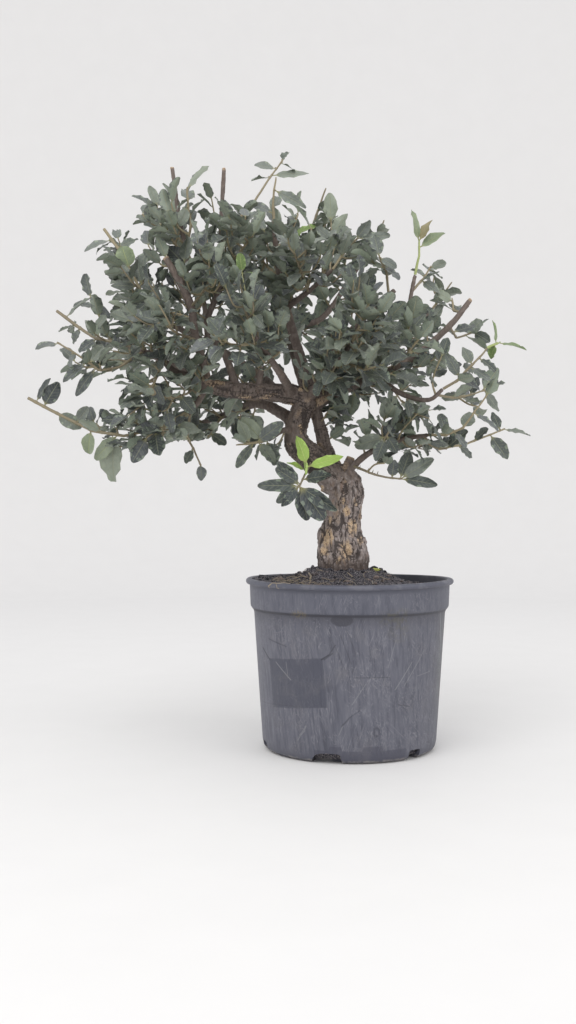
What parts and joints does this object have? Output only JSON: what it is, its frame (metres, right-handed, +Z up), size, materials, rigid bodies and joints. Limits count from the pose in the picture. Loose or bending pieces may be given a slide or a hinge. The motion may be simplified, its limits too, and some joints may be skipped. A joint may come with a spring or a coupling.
{
  "type": "bonsai tree",
  "caption": "Cork oak bonsai with a short corky forked trunk and a broad crown of small wavy leathery leaves, in dark peat in a round tapering plastic nursery pot.",
  "frame": {"origin": "centre of the pot's underside, on the plane that the pot stands on", "axes": "+Z up along the pot's axis, +X to the right and -Y towards the viewer of the tree's front, with the longer side of the crown towards -X"},
  "size_m": [0.5111, 0.3115, 0.58],
  "materials": {
    "pot_plastic": "weathered bluish grey moulded plastic with fine pale scratches and a bare dark stain",
    "peat": "dark crumbly fibrous peat",
    "bark": "corky fissured grey-brown bark with bare tan patches and thin tan twigs",
    "foliage": "waxy dark grey-green leather, paler below",
    "young_foliage": "soft satin fresh yellow-green"
  },
  "bodies": {
    "root": {"pot": "pot_plastic", "soil": "peat", "tree": "bark", "top_tip": "foliage", "top_upright": "foliage", "top_middle": "foliage", "upper_left": "foliage", "upper_left_edge": "foliage", "left_shoulder": "foliage", "left_cut_twig": "foliage", "left_middle": "foliage", "left_low": "foliage", "left_back": "foliage", "lower_left": "foliage", "lower_left_front": "foliage", "hanging": "foliage", "low_front": "foliage", "low_back": "foliage", "trunk_front": "foliage", "front_shoot": "young_foliage", "upper_right": "foliage", "upper_right_edge": "foliage", "new_leaves": "young_foliage", "right_upper": "foliage", "right_inner": "foliage", "right_end": "foliage", "right_edge": "foliage", "right_side": "foliage", "right_shoot": "young_foliage", "right_middle": "foliage", "right_low": "foliage", "lowest_right": "foliage", "right_pale": "foliage", "right_dark": "foliage", "front_peak": "foliage", "front_left": "foliage", "back_centre": "foliage", "front_middle": "foliage", "left_inner": "foliage", "front_low": "foliage", "cut_front": "foliage", "cut_left": "foliage", "dome_left": "foliage", "dome_right": "foliage", "back_dome": "foliage", "right_front": "foliage", "right_outer": "foliage", "back_under": "foliage", "left_outer": "foliage", "back_peak": "foliage", "back_middle": "foliage", "back_low": "foliage", "back_right": "foliage", "back_right_end": "foliage", "back_right_low": "foliage", "back_left_end": "foliage", "back_left_low": "foliage", "back_left_top": "foliage", "back_lowest": "foliage", "back_top": "foliage"}
  },
  "joints": []
}
